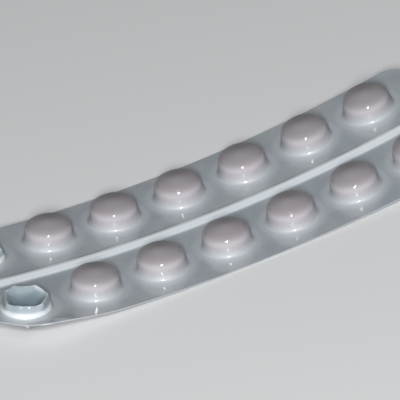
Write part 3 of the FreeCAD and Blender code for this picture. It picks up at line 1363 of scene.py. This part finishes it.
@dataclass(frozen=True)
class StripPlaces:
    """Where a point of a curled sheet lies on the strip, as shader values.

    The height is above the flange, and counts only where a pocket or the rib is formed.
    """

    place: Socket
    along: Socket
    across: Socket
    height: Socket
    from_pocket: Socket
    sound: Socket

    @classmethod
    def on(cls, board: Board, sizes: StripSizes) -> "StripPlaces":
        """Work the places out from the piece's own coordinates.

        Args:
            board: The material's nodes.
            sizes: The strip's sizes.

        Returns:
            The places.
        """
        place = board.add("ShaderNodeTexCoord", {}, {}, "Object")
        parts = board.node("ShaderNodeSeparateXYZ", {}, {0: place}).outputs
        across = Socket(board, parts[1])
        run, rise = Socket(board, parts[0]), sizes.curl_radius - Socket(board, parts[2])
        along = run.math("ARCTAN2", rise) * sizes.curl_radius
        height = sizes.curl_radius - (run * run + rise * rise).math("SQRT") - sizes.film_top
        limit = sizes.cells_start + sizes.emptied_pairs * sizes.pitch
        fade = 1 * MM
        sound = along.ramp(limit - fade, limit + fade)
        within = (along - sizes.cells_start).math("MAXIMUM", 0.0).math("MINIMUM", sizes.pairs * sizes.pitch)
        aside = within.math("FLOORED_MODULO", sizes.pitch) - sizes.pitch / 2
        aside = aside + (1 - sound) * sizes.emptied_shift
        off_middle = across.math("ABSOLUTE")
        beyond = off_middle - sizes.row_offset
        from_pocket = (aside * aside + beyond * beyond).math("SQRT")
        clear_of_pocket = from_pocket.ramp(sizes.foot_radius + fade, sizes.foot_radius + 2 * fade)
        formed = 1 - clear_of_pocket * off_middle.ramp(2 * fade, 3 * fade)
        return cls(place, along, across, height * formed, from_pocket, sound)


@dataclass(frozen=True)
class FilmFinish:
    """Glossy, slightly milky thermoformed film: greyer on the sealed flange, clearer over the tablets."""

    sizes: StripSizes
    flange: Colour = paint(177, 185, 190)
    flange_shade: Colour = paint(163, 172, 179)
    # painted light: a paler halo round each pocket's foot stands in for light that the pocket's wall throws
    # onto the flange
    painted_light_halo: Colour = paint(190, 197, 203)
    # painted shade: the rib's sides are a darker copy of its crest's colour, which evens out how the lamps
    # light the rib
    rib: Colour = paint(214, 220, 225)
    rib_sides_painted_shade: Colour = paint(190, 197, 202)
    # a sound pocket's roof is painted darker as shade over the tablet, and its walls paler than its foot,
    # partly as the drawn film's milkiness and partly as painted light
    foot: Colour = paint(178, 182, 187)
    wall: Colour = paint(212, 209, 215)
    roof: Colour = paint(172, 168, 172)
    clear_wall: Colour = paint(160, 173, 181)
    # a crushed pocket's foot is near white, partly as stress whitening and partly as a painted highlight
    # where it catches the lamps
    crushed_foot_whitening_and_highlight: Colour = paint(236, 244, 248)
    # painted shade: the crushed pocket's dish is darker, standing in for the shadowed hollow under it
    dish_painted_shade: Colour = paint(134, 152, 161)
    # the crushed rim's crests are paler in patches, partly as stress whitening and partly as painted
    # highlights
    crease_whitening_and_highlight: Colour = paint(218, 229, 236)
    wall_alpha: float = 0.52
    roof_alpha: float = 0.5
    empty_alpha: float = 0.86
    # how much of the painted light halo shows
    painted_light_halo_strength: float = 0.7
    # roughness of the flange, and what its clouds, the matt tops of the pockets and the rib add to it
    roughness: float = 0.56
    cloud_roughness: float = 0.12
    matt_roughness: float = 0.3
    rib_roughness: float = 0.28
    # shares of the coat that are lost where the film was drawn, and where it was crushed
    drawn_loss: float = 0.55
    crushed_loss: float = 0.9
    # distances from the strip's middle line, then from a pocket's axis, over which a change sets in
    rib_fade: Span = (1.4 * MM, 1.9 * MM)
    painted_light_halo_ring: Span = (4.0 * MM, 6.2 * MM)
    painted_light_halo_fade: float = 1.8 * MM
    dish_painted_shade_edge: Span = (2.6 * MM, 4.3 * MM)
    roof_bow: Span = (0.0, 4.2 * MM)
    # heights above the flange over which a change sets in
    raised_from: Span = (0.02 * MM, 0.3 * MM)
    curved_from: Span = (0.03 * MM, 0.3 * MM)
    crest_from: Span = (0.55 * MM, 0.9 * MM)
    wall_milkiness_and_light_from: Span = (0.4 * MM, 2.6 * MM)
    roof_painted_shade_from: Span = (2.8 * MM, 4.0 * MM)
    veil_from: Span = (0.2 * MM, 2.6 * MM)
    matt_from: Span = (1.4 * MM, 2.8 * MM)
    glossy_band: Span = (1.2 * MM, 2.3 * MM)
    glossy_fade: float = 0.2 * MM
    crushed_foot_whitening_and_highlight_from: Span = (0.2 * MM, 0.55 * MM)
    clear_wall_from: Span = (0.9 * MM, 1.6 * MM)
    crease_whitening_and_highlight_from: Span = (2.1 * MM, 2.7 * MM)

    def material(self) -> Material:
        """Build the finish.

        Returns:
            The material.
        """
        board = Board("milky_film")
        at = StripPlaces.on(board, self.sizes)

        on_rib = 1 - at.across.math("ABSOLUTE").ramp(*self.rib_fade)
        raised = at.height.ramp(*self.raised_from) * (1 - on_rib)
        curved = at.height.ramp(*self.curved_from)
        top = at.height.ramp(*self.roof_painted_shade_from)
        cloud = board.grain(at.place, scale=210, detail=3.0)
        drift = board.grain(at.place, scale=60, detail=1.0)

        base = board.blend((cloud * 0.55 + drift * 0.45).ramp(0.35, 0.65), self.flange, self.flange_shade)
        # painted light: a paler halo on the flange round each pocket's foot
        ring = at.from_pocket.band(*self.painted_light_halo_ring, self.painted_light_halo_fade)
        base = board.blend(ring * self.painted_light_halo_strength, base, self.painted_light_halo)
        # painted shade on the rib's sides, paler towards its crest
        rib_painted_shading = board.blend(at.height.ramp(*self.crest_from), self.rib_sides_painted_shade, self.rib)
        base = board.blend(on_rib * curved, base, rib_painted_shading)
        # sound pockets: paler walls, partly painted light, and roofs darkened with painted shade
        sound = board.blend(at.height.ramp(*self.wall_milkiness_and_light_from), self.foot, self.wall)
        sound = board.blend(top, sound, self.roof)
        # crushed pockets: a near-white foot, partly a painted highlight
        emptied = board.blend(at.height.ramp(*self.crushed_foot_whitening_and_highlight_from), self.foot, self.crushed_foot_whitening_and_highlight)
        emptied = board.blend(at.height.ramp(*self.clear_wall_from), emptied, self.clear_wall)
        # painted shade in the crushed pocket's dish
        emptied = board.blend(1 - at.from_pocket.ramp(*self.dish_painted_shade_edge), emptied, self.dish_painted_shade)
        patchy = board.grain(at.place, scale=330, detail=0.0).ramp(0.44, 0.6)
        # paler crests on the crushed rim, partly stress whitening and partly painted highlights
        emptied = board.blend(at.height.ramp(*self.crease_whitening_and_highlight_from) * patchy, emptied, self.crease_whitening_and_highlight)

        veil = 1 - (1 - self.wall_alpha) * at.height.ramp(*self.veil_from)
        veil = veil + (self.roof_alpha - self.wall_alpha) * top
        veil = veil * at.sound + self.empty_alpha * (1 - at.sound)
        rough = self.roughness + self.cloud_roughness * cloud
        rough = rough + self.matt_roughness * at.height.ramp(*self.matt_from) + self.rib_roughness * on_rib
        dull = curved * (1 - at.height.band(*self.glossy_band, self.glossy_fade)) * (1 - on_rib)
        coat = (1 - self.drawn_loss * dull) * (1 - self.crushed_loss * raised * (1 - at.sound))
        crown = board.bump((1 - at.from_pocket.ramp(*self.roof_bow)) * at.sound, 0.5 * MM)
        swell = board.bump(board.grain(at.place, scale=130, detail=1.0), 0.5 * MM, strength=0.22, under=crown)
        return board.finish({
            "Base Color": board.blend(raised, base, board.blend(at.sound, emptied, sound)),
            "Roughness": rough,
            "Alpha": 1 - raised * (1 - veil),
            "Normal": board.bump(board.grain(at.place, scale=1100), 0.02 * MM, strength=0.12, under=swell),
            "IOR": 1.8,
            "Specular IOR Level": 0.85,
            "Coat IOR": 1.7,
            "Coat Weight": coat,
            "Coat Roughness": 0.1,
        })


@dataclass(frozen=True)
class CutEdgeFinish:
    """A sheet's cut edge, dulled by the punch, and painted a darker grey than either sheet as shade on the
    narrow cut face.
    """

    name: str
    # painted shade: both tones are darker than the film or the foil that the edge is cut from
    colour: Colour = paint(118, 123, 126)
    worn: Colour = paint(104, 110, 114)

    def material(self) -> Material:
        """Build the finish.

        Returns:
            The material.
        """
        board = Board(self.name)
        place = board.add("ShaderNodeTexCoord", {}, {}, "Object")
        tone = board.grain(board.stretched(place, Vector((1.0, 1.0, 3.0))), scale=1400)
        colour = board.blend(tone.ramp(0.3, 0.7), self.colour, self.worn)
        return board.finish({
            "Base Color": colour,
            "Roughness": 0.55 + 0.2 * tone,
            "Normal": board.bump(tone, 0.02 * MM, strength=0.4),
            "Specular IOR Level": 0.2,
        })


@dataclass(frozen=True)
class FoilFinish:
    """Hard aluminium foil with rolling streaks and the heat seal's fine lattice between the pockets."""

    sizes: StripSizes
    metal: Colour = paint(214, 216, 219)
    dull: Colour = paint(186, 189, 193)
    lattice: float = 0.75 * MM
    sealed_from: Span = (5.1 * MM, 5.6 * MM)

    def material(self) -> Material:
        """Build the finish.

        Returns:
            The material.
        """
        board = Board("sealed_aluminium")
        at = StripPlaces.on(board, self.sizes)
        streak = board.grain(board.stretched(at.place, Vector((0.06, 1.0, 1.0))), scale=2600, detail=3.0)
        cloud = board.grain(at.place, scale=140)
        tone = (streak * 0.6 + cloud * 0.4).ramp(0.35, 0.68)
        turn = 2 * math.pi / self.lattice
        one = ((at.along + at.across) * turn).math("SINE")
        other = ((at.along - at.across) * turn).math("SINE")
        knurl = (one * other).math("ABSOLUTE")
        sealed = at.from_pocket.ramp(*self.sealed_from)
        crumple = board.grain(at.place, scale=420, detail=3.0, roughness=0.6)
        relief = board.bump(knurl * sealed, 0.035 * MM, strength=0.6)
        relief = board.bump(crumple * (1 - 0.7 * sealed), 0.16 * MM, strength=0.5, under=relief)
        return board.finish({
            "Base Color": board.blend(tone, self.metal, self.dull),
            "Metallic": 1.0,
            "Roughness": 0.26 + 0.16 * tone + 0.06 * sealed,
            "Normal": relief,
        })


@dataclass(frozen=True)
class TabletFinish:
    """Pale pink film-coated tablet with a faint mottle."""

    coat: Colour = paint(212, 192, 197)
    mottle: Colour = paint(198, 176, 182)

    def material(self) -> Material:
        """Build the finish.

        Returns:
            The material.
        """
        board = Board("pink_coating")
        place = board.add("ShaderNodeTexCoord", {}, {}, "Object")
        cloud = board.grain(place, scale=520, detail=3.0)
        speck = board.grain(place, scale=3200)
        tone = (cloud * 0.6 + speck * 0.4).ramp(0.36, 0.66)
        return board.finish({
            "Base Color": board.blend(tone, self.coat, self.mottle),
            "Roughness": 0.46 + 0.14 * speck,
            "Normal": board.bump(speck, 0.03 * MM, strength=0.4),
        })


# --- studio -------------------------------------------------------------------------------------------------


@dataclass(frozen=True)
class Lamp:
    """An upright softbox, by where it stands seen from the strip, with its angles in degrees."""

    name: str
    azimuth: float
    elevation: float
    distance: float
    width: float
    power: float

    @property
    def height(self) -> float:
        """Height of the softbox, which is twice as tall as it is wide."""
        return 2 * self.width


@dataclass
class Studio:
    """Pale floor, soft light and the camera, with its angles in radians from the front."""

    target: Vector = field(default_factory=lambda: Vector((-1.366, 7.771, 0.0)) * MM)
    azimuth: float = -0.33734
    elevation: float = 0.5543
    roll: float = -0.19624
    distance: float = 1606.38 * MM
    lens: float = 720.0
    sensor: float = 36.0
    clip: Span = (0.05, 20.0)
    floor_size: float = 8.0
    floor_drop: float = 0.02 * MM
    floor_tone: Colour = paint(236, 237, 238)
    floor_bounce: Colour = paint(120, 121, 122)
    sky: Colour = (0.94, 0.97, 1.0)
    sky_strength: float = 0.03
    lamps: tuple[Lamp, ...] = (
        Lamp("key", azimuth=-23.0, elevation=30.5, distance=1.3, width=0.17, power=13.5),
        Lamp("flash", azimuth=-19.3, elevation=39.0, distance=1.5, width=0.07, power=7.5),
        Lamp("top", azimuth=-30.0, elevation=60.0, distance=1.4, width=0.06, power=0.5),
    )

    def direction(self, azimuth: float, elevation: float) -> Vector:
        """Direction from the strip towards a place, for angles in radians from the front."""
        flat = math.cos(elevation)
        return Vector((math.sin(azimuth) * flat, -math.cos(azimuth) * flat, math.sin(elevation)))

    def camera(self) -> None:
        """Set the camera up at the viewing angle."""
        back = self.direction(self.azimuth, self.elevation)
        right = Vector((math.cos(self.azimuth), math.sin(self.azimuth), 0))
        up = back.cross(right)
        turned = right * math.cos(self.roll) + up * math.sin(self.roll)
        upright = back.cross(turned)
        data = bpy.data.cameras.new("camera")
        data.lens = self.lens
        data.sensor_width = self.sensor
        data.clip_start, data.clip_end = self.clip
        camera = bpy.data.objects.new("camera", data)
        bpy.context.scene.collection.objects.link(camera)
        axes = Matrix((turned, upright, back)).transposed().to_4x4()
        camera.matrix_world = Matrix.Translation(self.target + back * self.distance) @ axes
        bpy.context.scene.camera = camera

    def light(self, lamp: Lamp) -> None:
        """Hang one softbox.

        Args:
            lamp: Its place, size and power.
        """
        data = bpy.data.lights.new(lamp.name, "AREA")
        data.shape = "ELLIPSE"
        data.size = lamp.width
        data.size_y = lamp.height
        data.energy = lamp.power
        light = bpy.data.objects.new(lamp.name, data)
        bpy.context.scene.collection.objects.link(light)
        aim = self.direction(math.radians(lamp.azimuth), math.radians(lamp.elevation))
        turn = aim.to_track_quat("Z", "Y").to_matrix().to_4x4()
        light.matrix_world = Matrix.Translation(aim * lamp.distance) @ turn

    def floor(self) -> Object:
        """Lay the pale floor.

        Returns:
            The floor.
        """
        deselect_all()
        bpy.ops.mesh.primitive_plane_add(size=self.floor_size, location=(0, 0, -self.floor_drop))
        floor = settle(bpy.context.view_layer.objects.active)
        floor.name = "floor"
        board = Board("pale_floor")
        ray = board.node("ShaderNodeLightPath", {}, {}).outputs
        seen = Socket(board, ray["Is Camera Ray"])
        for kind in ("Is Glossy Ray", "Is Transmission Ray"):
            seen = seen.math("MAXIMUM", Socket(board, ray[kind]))
        tone = board.blend(seen, self.floor_bounce, self.floor_tone)
        floor.data.materials.append(board.finish({"Base Color": tone, "Roughness": 0.75}))
        return floor

    def world(self) -> None:
        """Light the room evenly."""
        world = bpy.data.worlds.new("room")
        world.use_nodes = True
        background = world.node_tree.nodes["Background"]
        background.inputs["Color"].default_value = (*self.sky, 1.0)
        background.inputs["Strength"].default_value = self.sky_strength
        bpy.context.scene.world = world

    def build(self) -> Object:
        """Set up the whole studio.

        Returns:
            The floor.
        """
        self.camera()
        for lamp in self.lamps:
            self.light(lamp)
        self.world()
        bpy.context.scene.view_settings.view_transform = "Standard"
        return self.floor()


# --- putting it together ------------------------------------------------------------------------------------


def place_on_frame(piece: Object, nodes: Sequence[str]) -> None:
    """Say what a finished piece rides on and stands for, and log its number of faces.

    Args:
        piece: The finished piece.
        nodes: The solids that it stands for.
    """
    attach(piece, "root")
    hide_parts(*nodes)
    LOG.info("%s: %d faces", piece.name, len(piece.data.polygons))


def main() -> None:
    """Build the studio, the sheets and the tablets, and dress them."""
    logging.basicConfig(level=logging.INFO, format="%(message)s")
    sizes = StripSizes()
    Studio().build()

    film = BlisterFilm(sizes).build()
    film.data.materials.append(FilmFinish(sizes).material())
    film.data.materials.append(CutEdgeFinish("film_cut_edge").material())
    place_on_frame(film, ["blister_film"])

    foil = LiddingFoil(sizes).build()
    foil.data.materials.append(FoilFinish(sizes).material())
    foil.data.materials.append(CutEdgeFinish("foil_cut_edge").material())
    place_on_frame(foil, ["lidding_foil"])

    coating = TabletFinish().material()
    for node, tablet in Tablets(sizes).build().items():
        tablet.data.materials.append(coating)
        place_on_frame(tablet, [node])


if __name__ == "__main__":
    main()
